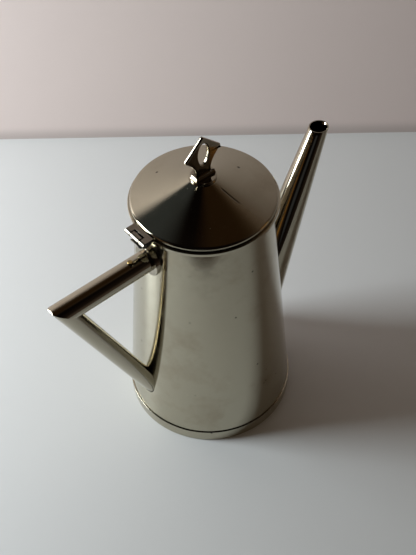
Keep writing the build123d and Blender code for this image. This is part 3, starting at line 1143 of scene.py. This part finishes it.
        # Of its first and last corners, which aren't rounded, a single point is kept
        tip = tip[ARC_STEPS + 2 : -ARC_STEPS - 3]
        sunk = np.array([[self.neck_half_width, foot - self.blade_sink]])
        outline = np.concatenate([sunk, side, tip, (side * mirror)[::-1], sunk * mirror])
        outer = evenly_spaced(outline, self.blade_points)
        centre = np.array([0, foot + self.eye_rise])
        turn = np.arctan2(*((outer - centre) / np.array(self.eye_half)).T[::-1])
        eye = centre + np.column_stack([np.cos(turn), np.sin(turn)]) * np.array(self.eye_half)
        depth = self.blade_half_thickness
        rows = []
        for edge, radius, way in ((outer, self.blade_round, 1), (eye, self.eye_round, -1)):
            pull = inward(edge) * way
            half = [(edge + pull * inset, radius - rise) for inset, rise in quarter_round(radius)]
            half.append((edge + pull * (radius + self.blade_guard), 0.0))
            rows.append([np.insert(at, 1, depth - low, axis=1) for at, low in half])
        front = rows[0] + rows[1][::-1]
        back = [row * np.array([1, -1, 1]) for row in front[::-1]]
        points = np.stack(front + back)
        return mesh_object("blade", points, grid_faces(len(points), len(outer), True, True))

    def _finial_plinth(self) -> bpy.types.Object:
        """The blade's oblong plinth, moulded in two layers with a fine groove between them.

        Returns:
            The piece.
        """
        extent = Extent.of("finial_blade")
        long, short = self.plinth_half
        corners = ((-long, -short), (long, -short), (long, short), (-long, short))
        outline = rounded_outline([(*corner, self.plinth_round) for corner in corners])
        pull = inward(outline)
        rise = self.plinth_height
        crown = ((inset, rise - depth) for inset, depth in self.plinth_crown)
        rows = [(outline + pull * inset, height) for inset, height in (*self.plinth_side, *crown)]
        middle = np.zeros_like(outline)
        rows = [(middle, 0.0), *rows, (middle, rise)]
        foot = extent.low[2]
        points = np.stack([np.insert(at, 2, foot + height, axis=1) for at, height in rows])
        return mesh_object("plinth", points, grid_faces(len(points), len(outline), False, True))


# ---------------------------------------------------------------- spout, handle and hinge


@dataclass
class Fittings(SubAssembly):
    """Spout, handle and hinge.

    Attributes:
        wall_radii: The wall's outer radius at its foot and at its top.
        wall_heights: Heights of its foot and its top.
        solder_gap: Gap that solder fills between the wall or lid and what is fitted to it.
        spout_root: Distance from the pot's axis and height where the spout's axis starts.
        spout_radii: The spout's outer radius there and at its mouth.
        spout_mouth_reach: Distance from the pot's axis to the middle of the spout's mouth.
        spout_wall: Wall of the spout.
        spout_lip: Chamfer of the mouth's two edges.
        spout_margin: How far the mouth stays below the top of the spout's extent.
        spout_steps: Points along the spout.
        spout_probe: How far before the spout's root the search for the wall starts.
        halvings: Halvings in that search.
        lid_side: Radius of the lid's edge that the fork is cut to.
        grip_height: Height of the grip's axis.
        flange_radius: Radius of the collar's flange.
        flange_face: Distance from the pot's axis to the flange's flat face.
        flange_round: Rounding of the flange's edge.
        flange_rings: Radii of the inner rings of points on the face that is cut to the wall.
        flange_guard: Radius of the guard points on its flat face, beside the spigot.
        spigot_radius: Radius of the spigot in the grip.
        hinge_edge: Bevel of the hinge's edges.
        hinge_height: Height of the hinge's pin.
        knuckle_radius: Outer radius of the knuckles.
        knuckle_steps: Points along a knuckle's arc.
        fork_gap: Clearance between the fork and the rim ring.
        fork_sections: Sections across each of the fork's three parts.
        slot_half_width: Half the width of the fork's slot.
        slot_margin: Clearance between the slot's end and the tongue.
        tongue_radius: Radius of the tongue's nose.
        tongue_half_width: Half the tongue's width.
        tongue_sections: Sections across the tongue.
        nose_steps: Points along the nose.
        arm_bottom: Height of the tongue's arm at its underside.
        arm_top: Height of its upper side.
        arm_round: Rounding of its heel.
        heel_steps: Points along the heel.
        arm_heart: How far below the arm's upper side its flat ends close.
        far_inside: An x well inside the pot, from which the leaves are trimmed back.
        pin_radius: Radius of the hinge's pin.
        pin_proud: How far the pin stands out of the knuckles.
        pin_turns: Steps once round the pin.
    """

    wall_radii: tuple[float, float] = (46.7, 33.6)
    wall_heights: tuple[float, float] = (8.0, 145.95)
    solder_gap: float = 0.02
    spout_root: tuple[float, float] = (40.0, 50.5)
    spout_radii: tuple[float, float] = (12.48, 5.03)
    spout_mouth_reach: float = 77.8
    spout_wall: float = 0.6
    spout_lip: float = 0.12
    spout_margin: float = 0.01
    spout_steps: int = 49
    spout_probe: float = 30.0
    halvings: int = 40
    lid_side: float = 35.85
    grip_height: float = 129.5
    flange_radius: float = 8.5
    flange_face: float = 36.85
    flange_round: float = 0.3
    flange_rings: tuple[float, ...] = (0, 3, 6)
    flange_guard: float = 5.2
    spigot_radius: float = 4.6
    hinge_edge: float = 0.06
    hinge_height: float = 148.4
    knuckle_radius: float = 1.5
    knuckle_steps: int = 24
    fork_gap: float = 0.35
    fork_sections: int = 9
    slot_half_width: float = 3.65
    slot_margin: float = 0.45
    tongue_radius: float = 1.9
    tongue_half_width: float = 3.0
    tongue_sections: int = 13
    nose_steps: int = 12
    arm_bottom: float = 142.73
    arm_top: float = 145.93
    arm_round: float = 3.6
    heel_steps: int = 10
    arm_heart: float = 0.5
    far_inside: float = -30.0
    pin_radius: float = 0.7
    pin_proud: float = 0.04
    pin_turns: int = 64

    def build(self) -> None:
        """Makes and dresses the pieces."""
        self._place(self._spout(), "spout", "pot", "spout_metal", TUBE_FINISH)
        tubes = {"handle_upper_tube": TUBE_FINISH, "handle_lower_tube": TUBE_FINISH}
        self._dress_solids({**tubes, "handle_pin": BRASS_FINISH})
        self._place(self._collar(), "handle_collar", "pot", "handle_metal", CAST_FINISH)
        self._place(self._tongue(), "body_hinge_leaf", "pot", "hinge_metal", HINGE_FINISH)
        self._place(self._fork(), "lid_hinge_leaf", "lid", "hinge_metal", HINGE_FINISH)
        self._place(self._pin(), "hinge_pin", "lid", "pin_steel", STEEL_FINISH)

    def _wall_reach(self, across: np.ndarray, height: np.ndarray) -> np.ndarray:
        """Distance along -X to the wall: sqrt(r(z)^2 - y^2), with r falling evenly.

        Args:
            across: Distances y from the pot's middle plane.
            height: Heights z.

        Returns:
            Distances from the pot's axis.
        """
        radius = np.interp(height, self.wall_heights, self.wall_radii)
        return np.sqrt(radius**2 - across**2) + self.solder_gap

    def _spout(self) -> bpy.types.Object:
        """A straight tapered tube, level at the mouth and cut to the wall at the foot.

        The radius falls evenly along the axis. Each line down the tube starts where it meets the mouth's
        level, which is linear in the distance along the axis. It ends where it meets the wall, which halving
        finds.

        Returns:
            The piece.
        """
        root = np.array(self.spout_root)
        rise = Extent.of("spout").high[2] - self.spout_margin - root[1]
        lean = math.atan2(rise, self.spout_mouth_reach - root[0])
        sine, cosine = math.sin(lean), math.cos(lean)
        taper = (self.spout_radii[0] - self.spout_radii[1]) / (rise / sine)
        spindle = Spindle((root[0], 0, root[1]), (cosine, 0, sine), (-sine, 0, cosine))
        angle = turn_angles()
        lip, wall = self.spout_lip, self.spout_wall
        rows = []
        for inset, drop in ((0.0, lip), (lip, 0.0), (wall - lip, 0.0), (wall, lip)):
            wide = self.spout_radii[0] - inset
            upward = np.cos(angle) * cosine
            mouth = (rise - drop - wide * upward) / (sine - taper * upward)
            low, high = np.full(TURNS, -self.spout_probe), mouth.copy()
            for _ in range(self.halvings):
                middle = (low + high) / 2
                x, y, z = spindle.place(middle, wide - taper * middle, angle).T
                side = np.interp(z, self.wall_heights, self.wall_radii)
                outside = np.hypot(x, y) > side + self.solder_gap
                low, high = np.where(outside, low, middle), np.where(outside, middle, high)
            steps = np.linspace(0, 1, self.spout_steps)[:, None]
            line = high + steps * (mouth - high)
            rows.append(np.stack([wide - taper * line, line], axis=-1))
        outline = np.concatenate([rows[0], rows[1][-1:], rows[2][-1:], rows[3][::-1]])
        return turned("spout_tube", outline, spindle)

    def _collar(self) -> bpy.types.Object:
        """A round flange cut to the wall, with a spigot that goes into the grip.

        Returns:
            The piece.
        """
        spindle = Spindle((0, 0, self.grip_height), (-1, 0, 0), (0, 0, 1))
        reach = -Extent.of("handle_collar").low[0]
        foot = []
        for radius in (*self.flange_rings, self.flange_radius):
            spot = spindle.place(np.zeros(TURNS), np.full(TURNS, radius), turn_angles())
            foot.append(np.column_stack([np.full(TURNS, radius), self._wall_reach(spot[:, 1], spot[:, 2])]))
        start = np.array([self.flange_radius, self.flange_face - self.flange_round])
        face = start + quarter_round(self.flange_round) * np.array([-1, 1])
        seat = np.array([[self.flange_guard, self.flange_face], [self.spigot_radius, self.flange_face]])
        spigot = np.array([[self.spigot_radius, reach], [0, reach]])
        rest = np.concatenate([face, seat, spigot])
        rest = np.repeat(rest[:, None, :], TURNS, axis=1)
        return turned("grip_flange", np.concatenate([np.stack(foot), rest]), spindle, closed=False)

    def _knuckle(self, start: float, end: float) -> np.ndarray:
        """Arc of a knuckle's outside round the hinge's pin.

        Args:
            start: Angle of its first point in degrees, from +X towards +Z.
            end: Angle of its last point.

        Returns:
            Points (x, z).
        """
        pin = (self._pin_reach(), self.hinge_height)
        return arc(pin, self.knuckle_radius, start, end, self.knuckle_steps)

    def _pin_reach(self) -> float:
        """The hinge pin's x."""
        extent = Extent.of("hinge_pin")
        return (extent.low[0] + extent.high[0]) / 2

    def _fork(self) -> bpy.types.Object:
        """The lid's leaf: a plate cut round to the lid's edge, with a slot for the tongue and two knuckles.

        Returns:
            The piece.
        """
        extent = Extent.of("lid_hinge_leaf")
        top, half = extent.high[2], extent.high[1]
        foot = Extent.of("lid_edge_ring").low[2]
        step = -Extent.of("rim_ring").high[0] - self.fork_gap
        far = self.far_inside
        line = np.array([[far, top], [far, foot], [step, foot], [step, extent.low[2]]])
        profile = np.concatenate([self._knuckle(270, 90), line])
        pin = self._pin_reach()
        slot_end = pin + self.tongue_radius + self.slot_margin
        slot = self.slot_half_width
        sections = []
        for low, high, least in ((-half, -slot, -np.inf), (-slot, slot, slot_end), (slot, half, -np.inf)):
            for y in np.linspace(low, high, self.fork_sections):
                root = min(-math.sqrt((self.lid_side + self.solder_gap) ** 2 - y**2), extent.high[0])
                sections.append((y, np.clip(profile[:, 0], least, root)))
        return carried("hinge_fork", profile, sections, (pin, self.hinge_height), self.hinge_edge)

    def _tongue(self) -> bpy.types.Object:
        """The pot's leaf: an arm cut to the wall that turns up into the middle knuckle.

        Returns:
            The piece.
        """
        reach = self._pin_reach()
        rise = math.degrees(math.asin(self.knuckle_radius / self.tongue_radius))
        nose = arc((reach, self.hinge_height), self.tongue_radius, rise, 0, self.nose_steps)
        bend = (reach - self.knuckle_radius + self.arm_round, self.arm_bottom + self.arm_round)
        heel = arc(bend, self.arm_round, 180, 270, self.heel_steps)
        far, top = self.far_inside, self.arm_top
        inner = np.array([[reach + self.tongue_radius, top], [far, top], [far, self.arm_bottom]])
        profile = np.concatenate([heel, self._knuckle(180, 90), nose, inner])
        sections = []
        for y in np.linspace(-self.tongue_half_width, self.tongue_half_width, self.tongue_sections):
            root = -self._wall_reach(np.full(len(profile), y), profile[:, 1])
            sections.append((y, np.minimum(profile[:, 0], root)))
        return carried("hinge_tongue", profile, sections, (reach, top - self.arm_heart), self.hinge_edge)

    def _pin(self) -> bpy.types.Object:
        """The hinge's pin, filed almost flush with the knuckles.

        Returns:
            The piece.
        """
        spindle = Spindle((self._pin_reach(), 0, self.hinge_height), (0, 1, 0), (0, 0, 1))
        length = Extent.of("lid_hinge_leaf").high[1] + self.pin_proud
        radius = self.pin_radius
        outline = np.array([[0, -length], [radius, -length], [radius, length], [0, length]])
        return turned("hinge_rivet", outline, spindle, turns=self.pin_turns, closed=False)


# ---------------------------------------------------------------- studio


@dataclass(frozen=True)
class CameraView:
    """Camera solved from the round outlines of foot, rim and lid.

    Attributes:
        place: Position in millimetres.
        forward: Viewing direction.
        upward: Direction of the picture's upper edge.
        focal_pixels: Focal length in pixels of a picture 416 wide and 555 high.
        picture_height: Height of that picture in pixels.
        sensor_height: Height of the sensor in millimetres.
        nearest: Distance in millimetres within which nothing is seen.
    """

    place: tuple[float, float, float] = (-190.54, -238.90, 446.85)
    forward: tuple[float, float, float] = (0.40564, 0.50632, -0.76099)
    upward: tuple[float, float, float] = (0.50259, 0.57185, 0.64838)
    focal_pixels: float = 883.26
    picture_height: float = 555.0
    sensor_height: float = 36.0
    nearest: float = 10.0

    def build(self) -> None:
        """Adds the camera and makes it the scene's own."""
        data = bpy.data.cameras.new("camera")
        data.sensor_fit = "VERTICAL"
        data.sensor_height = self.sensor_height
        data.lens = self.focal_pixels * self.sensor_height / self.picture_height
        data.clip_start = self.nearest * MM
        camera = bpy.data.objects.new("camera", data)
        back = -Vector(self.forward).normalized()
        right = Vector(self.upward).cross(back).normalized()
        turn = Matrix((right, back.cross(right), back)).transposed().to_4x4()
        camera.matrix_world = Matrix.Translation(Vector(self.place) * MM) @ turn
        bpy.context.scene.collection.objects.link(camera)
        bpy.context.scene.camera = camera


@dataclass
class Studio:
    """Pale floor, a low backdrop behind the pot, one broad soft lamp and a dim warm room.

    The pot stands near the front edge of a table, so its metal mirrors the dim room beyond that edge.

    Attributes:
        floor_colour: Colour of the lacquered table top.
        floor_gloss: Roughness of the table top.
        backdrop_colour: Colour of the backdrop.
        backdrop_distance: From the pot's axis to the backdrop, in millimetres.
        backdrop_bearing: Horizontal direction from the pot's axis to the backdrop.
        backdrop_height: Height of the backdrop, in millimetres.
        backdrop_ends: Height where the backdrop has faded out, at the left and at the right of its step.
        backdrop_fades: Height over which it fades, at the left and at the right of its step.
        backdrop_step: Where the fade changes from left to right, in millimetres along the backdrop.
        backdrop_foot: Height of the soft shade along the backdrop's foot, in millimetres.
        backdrop_shade: Lightness of the backdrop in that shade, as a share.
        backdrop_roughness: Roughness of the backdrop's paint.
        table_front: From the pot's axis to the table's front edge, in millimetres.
        table_left: From the pot's axis to the table's left end, in millimetres.
        floor_half_width: Half the width of floor and backdrop, in millimetres.
        lamp_bearing: Horizontal direction from the pot's axis to the lamp.
        lamp_distance: From the pot's axis to the lamp, in millimetres.
        lamp_centre_height: Height of the lamp's centre, in millimetres.
        lamp_width: Width of the lamp, in millimetres.
        lamp_height: Height of the lamp, in millimetres.
        lamp_watts: Power of the lamp.
        lamp_colour: Colour of the lamp.
        fill_colour: Colour of the soft light that the room throws on matt surfaces.
        room_lean: Direction from the room's lighter corner, low on the right, to its darkest.
        room_colours: What metal mirrors along that direction, from its lighter corner on.
        room_glows: Soft patches that metal mirrors: azimuth and elevation, half width and colour.
        sight_colour: What the camera sees beyond floor and backdrop.
    """

    floor_colour: str = "#D3D5D4"
    floor_gloss: float = 0.3
    backdrop_colour: str = "#DACCC7"
    backdrop_distance: float = 219.0
    backdrop_bearing: tuple[float, float] = (0.645, 0.764)
    backdrop_height: float = 900.0
    backdrop_ends: tuple[float, float] = (540.0, 880.0)
    backdrop_fades: tuple[float, float] = (150.0, 680.0)
    backdrop_step: tuple[float, float] = (-240.0, -70.0)
    backdrop_foot: float = 14.0
    backdrop_shade: float = 0.72
    backdrop_roughness: float = 0.9
    table_front: float = 208.0
    table_left: float = 560.0
    floor_half_width: float = 2500.0
    lamp_bearing: tuple[float, float] = (-0.766, 0.643)
    lamp_distance: float = 680.0
    lamp_centre_height: float = 340.0
    lamp_width: float = 250.0
    lamp_height: float = 560.0
    lamp_watts: float = 9.5
    lamp_colour: str = "#F2FAFF"
    fill_colour: str = "#5B4F42"
    room_lean: tuple[float, float, float] = (-0.6, -0.45, 0.66)
    room_colours: tuple[tuple[float, str], ...] = ((0.52, "#50453D"), (0.70, "#1E1713"), (0.82, "#0C0807"))
    room_glows: tuple[tuple[float, float, float, str], ...] = (
        (104, 50, 26, "#3F4345"),
        (2, 46, 42, "#5A4A3B"),
        (-14, 74, 22, "#2C1E10"),
        (168, 4, 24, "#6A5640"),
        (-134, -3, 12, "#3A3C40"),
        (-42, 8, 11, "#C89048"),
        (-35, 5, 6, "#FFD890"),
    )
    sight_colour: str = "#D6D2CC"

    def build(self) -> None:
        """Makes the floor, the backdrop, the lamp and the world."""
        wide, back = self.floor_half_width, self.backdrop_distance
        left, front = -self.table_left, -self.table_front
        paint = self._floor_material()
        floor = self._level("floor", (left, wide), (front, back), paint)
        beyond = [
            self._level("floor_before_table", (-wide, wide), (-2 * wide, front), paint),
            self._level("floor_beside_table", (-wide, left), (front, back), paint),
        ]
        for sheet in beyond:
            sheet.visible_glossy = False
        corners = [self._at(s, back, z) for s, z in ((left, 0), (wide, 0), (wide, self.backdrop_height))]
        corners.append(self._at(left, back, self.backdrop_height))
        wall = self._sheet("backdrop", np.array(corners), self._wall_material())
        self._lamp()
        self._world()

    def _at(self, along: float, forth: float, height: float) -> np.ndarray:
        """A point in the backdrop's own directions.

        Args:
            along: Distance along the backdrop, to the right.
            forth: Distance from the pot's axis towards the backdrop.
            height: Height.

        Returns:
            The point (x, y, z).
        """
        bearing = np.array(self.backdrop_bearing) / np.linalg.norm(self.backdrop_bearing)
        across = np.array([bearing[1], -bearing[0]])
        return np.array([*(along * across + forth * bearing), height])

    def _level(
        self,
        name: str,
        along: tuple[float, float],
        forth: tuple[float, float],
        material: bpy.types.Material,
    ) -> bpy.types.Object:
        """Makes a level sheet at height 0.

        Args:
            name: The sheet's name.
            along: Its two ends along the backdrop.
            forth: Its two ends towards the backdrop.
            material: Its material.

        Returns:
            The sheet.
        """
        corners = [(along[0], forth[0]), (along[1], forth[0]), (along[1], forth[1]), (along[0], forth[1])]
        return self._sheet(name, np.array([self._at(s, t, 0.0) for s, t in corners]), material)

    def _sheet(self, name: str, corners: np.ndarray, material: bpy.types.Material) -> bpy.types.Object:
        """Makes a flat sheet.

        Args:
            name: The sheet's name.
            corners: Its four corners in millimetres, anticlockwise as seen from its front.
            material: Its material.

        Returns:
            The sheet.
        """
        mesh = bpy.data.meshes.new(name)
        mesh.from_pydata(corners * MM, [], [(0, 1, 2, 3)])
        mesh.materials.append(material)
        sheet = bpy.data.objects.new(name, mesh)
        bpy.context.scene.collection.objects.link(sheet)
        return sheet

    def _floor_material(self) -> bpy.types.Material:
        """A smooth lacquered table top with a soft gloss.

        Returns:
            The material.
        """
        material = bpy.data.materials.new("lacquered_table")
        material.use_nodes = True
        tree = material.node_tree
        look = {"Base Color": linear(self.floor_colour), "Roughness": self.floor_gloss}
        feed(tree, tree.nodes["Principled BSDF"], look)
        return material

    def _wall_material(self) -> bpy.types.Material:
        """Matt paint that shows from its front only, so that it never hides the pot, and fades out towards
        its top as painted falloff of the lamp's light.

        Returns:
            The material.
        """
        material = bpy.data.materials.new("painted_backdrop")
        material.use_nodes = True
        tree = material.node_tree
        shader = tree.nodes["Principled BSDF"]
        place = add_node(tree, "TexCoord").outputs["Object"]
        height = add_node(tree, "SeparateXYZ", {0: place}).outputs["Z"]
        across = Vector((self.backdrop_bearing[1], -self.backdrop_bearing[0], 0)).normalized()
        along = add_node(tree, "VectorMath", {0: place, 1: across}, operation="DOT_PRODUCT")
        # Painted light falloff: the backdrop fades to nothing towards its top
        left, right = (edge * MM for edge in self.backdrop_step)
        step = {"Value": along, "From Min": left, "From Max": right}
        levels = []
        for heights in (self.backdrop_ends, np.subtract(self.backdrop_ends, self.backdrop_fades).tolist()):
            rise = {"To Min": heights[0] * MM, "To Max": heights[1] * MM}
            levels.append(add_node(tree, "MapRange", {**step, **rise}, interpolation_type="SMOOTHSTEP"))
        fade = {"Value": height, "From Min": levels[0], "From Max": levels[1]}
        lit = add_node(tree, "MapRange", fade, interpolation_type="SMOOTHSTEP")
        shade = {"Value": height, "From Max": self.backdrop_foot * MM}
        foot = add_node(tree, "MapRange", shade, interpolation_type="SMOOTHERSTEP")
        paint = linear(self.backdrop_colour)
        dark = (*(value * self.backdrop_shade for value in paint[:3]), 1.0)
        colour = add_node(tree, "Mix", {"Factor": foot, "A": dark, "B": paint}, data_type="RGBA")
        feed(tree, shader, {"Base Color": colour, "Roughness": self.backdrop_roughness})
        back = add_node(tree, "NewGeometry").outputs["Backfacing"]
        dim = add_node(tree, "Math", {0: 1.0, 1: lit}, operation="SUBTRACT")
        unseen = add_node(tree, "Math", {0: back, 1: dim}, operation="MAXIMUM")
        mix = add_node(tree, "MixShader", {0: unseen, 1: shader, 2: add_node(tree, "BsdfTransparent")})
        feed(tree, tree.nodes["Material Output"], {"Surface": mix})
        return material

    def _lamp(self) -> None:
        """One broad soft lamp, low on the handle's side."""
        data = bpy.data.lights.new("soft_box", "AREA")
        data.shape = "RECTANGLE"
        data.size = self.lamp_width * MM
        data.size_y = self.lamp_height * MM
        data.energy = self.lamp_watts
        data.color = linear(self.lamp_colour)[:3]
        lamp = bpy.data.objects.new("soft_box", data)
        bearing = Vector((*self.lamp_bearing, 0)).normalized()
        place = bearing * self.lamp_distance + Vector((0, 0, self.lamp_centre_height))
        turn = bearing.to_track_quat("Z", "Y").to_matrix().to_4x4()
        lamp.matrix_world = Matrix.Translation(place * MM) @ turn
        lamp.visible_camera = False
        bpy.context.scene.collection.objects.link(lamp)

    def _world(self) -> None:
        """A room that is dark to mirrors, softly lit to matt surfaces and pale where the camera sees it."""
        world = bpy.data.worlds.new("room")
        world.use_nodes = True
        tree = world.node_tree
        background = tree.nodes["Background"]
        sight = add_node(tree, "TexCoord").outputs["Generated"]
        lean = Vector(self.room_lean).normalized()
        along = add_node(tree, "VectorMath", {0: sight, 1: lean}, operation="DOT_PRODUCT")
        share = add_node(tree, "MapRange", {"Value": along, "From Min": -1.0, "From Max": 1.0})
        colour = add_node(tree, "ValToRGB", {0: share})
        stops = colour.color_ramp.elements
        stops.remove(stops[1])
        for stop, (position, paint) in enumerate(self.room_colours):
            element = stops[0] if stop == 0 else stops.new(position)
            element.position = position
            element.color = linear(paint)
        colour.color_ramp.interpolation = "EASE"
        for azimuth, elevation, width, glow in self.room_glows:
            mask = self._glow(tree, sight, (azimuth, elevation, width))
            patch = {"Factor": mask, "A": colour, "B": linear(glow)}
            colour = add_node(tree, "Mix", patch, data_type="RGBA")
        feed(tree, background, {"Color": colour})
        path = add_node(tree, "LightPath").outputs
        seen = background
        for ray, paint in (("Is Diffuse Ray", self.fill_colour), ("Is Camera Ray", self.sight_colour)):
            light = add_node(tree, "Background", {"Color": linear(paint)})
            seen = add_node(tree, "MixShader", {0: path[ray], 1: seen, 2: light})
        feed(tree, tree.nodes["World Output"], {"Surface": seen})
        bpy.context.scene.world = world

    def _glow(
        self, tree: bpy.types.NodeTree, sight: bpy.types.NodeSocket, where: tuple[float, float, float]
    ) -> bpy.types.Node:
        """Mask of a round soft patch in the room.

        Args:
            tree: The world's nodes.
            sight: The direction looked in.
            where: The patch's azimuth, elevation and half width in degrees.

        Returns:
            The mask, which is 1 in the patch's middle.
        """
        azimuth, elevation, width = (math.radians(angle) for angle in where)
        level = math.cos(elevation)
        middle = (level * math.cos(azimuth), level * math.sin(azimuth), math.sin(elevation))
        near = add_node(tree, "VectorMath", {0: sight, 1: middle}, operation="DOT_PRODUCT")
        edges = {"Value": near, "From Min": math.cos(width), "From Max": math.cos(width / 4)}
        return add_node(tree, "MapRange", edges, interpolation_type="SMOOTHSTEP")


def main() -> None:
    """Builds the pieces in order, then the studio."""
    logging.basicConfig(level=logging.INFO, format="%(message)s")
    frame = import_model()
    bpy.context.scene.view_settings.view_transform = "Standard"
    CameraView().build()
    wardrobe = Wardrobe()
    for part in (PotBody, Lid, Fittings):
        part(frame["nodes"], wardrobe).build()
    Studio().build()


if __name__ == "__main__":
    main()
